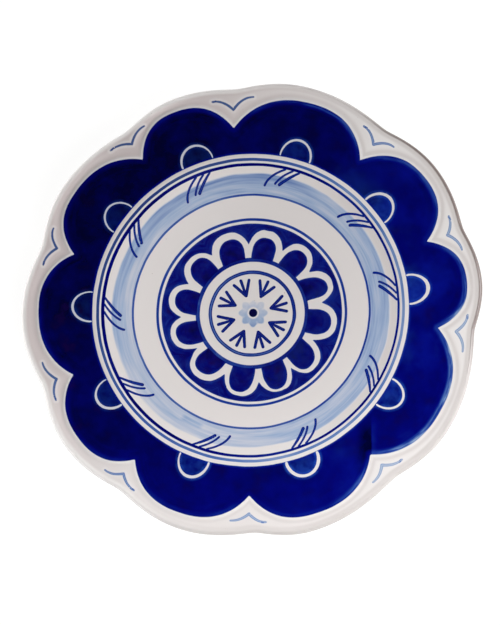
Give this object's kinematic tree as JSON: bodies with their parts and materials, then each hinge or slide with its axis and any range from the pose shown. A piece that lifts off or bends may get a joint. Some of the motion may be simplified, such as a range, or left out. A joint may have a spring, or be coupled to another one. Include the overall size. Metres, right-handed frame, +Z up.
{
  "type": "ceramic plate",
  "caption": "Round ceramic dish with a softly lobed rim, a shallow bowl and a foot ring, glazed white and painted in blue.",
  "frame": {"origin": "on the plane that the foot ring rests on, on the axis that the dish is turned about, about 1 mm from the middle of the lobed rim's box", "axes": "+Z up out of the bowl; the painted face looks up; +Y is towards the top of the dish as the picture shows it"},
  "size_m": [0.2772, 0.2749, 0.0349],
  "materials": {
    "clay": "bare fired clay",
    "foot_clay": "bare fired clay, ground flat where it rests",
    "front_glaze": "glossy opaque white glaze with cobalt blue painting",
    "back_glaze": "glossy off-white glaze"
  },
  "bodies": {
    "root": {"plate_body": "clay", "foot_ring": "foot_clay", "front_glaze": "front_glaze", "back_glaze": "back_glaze"}
  },
  "joints": []
}
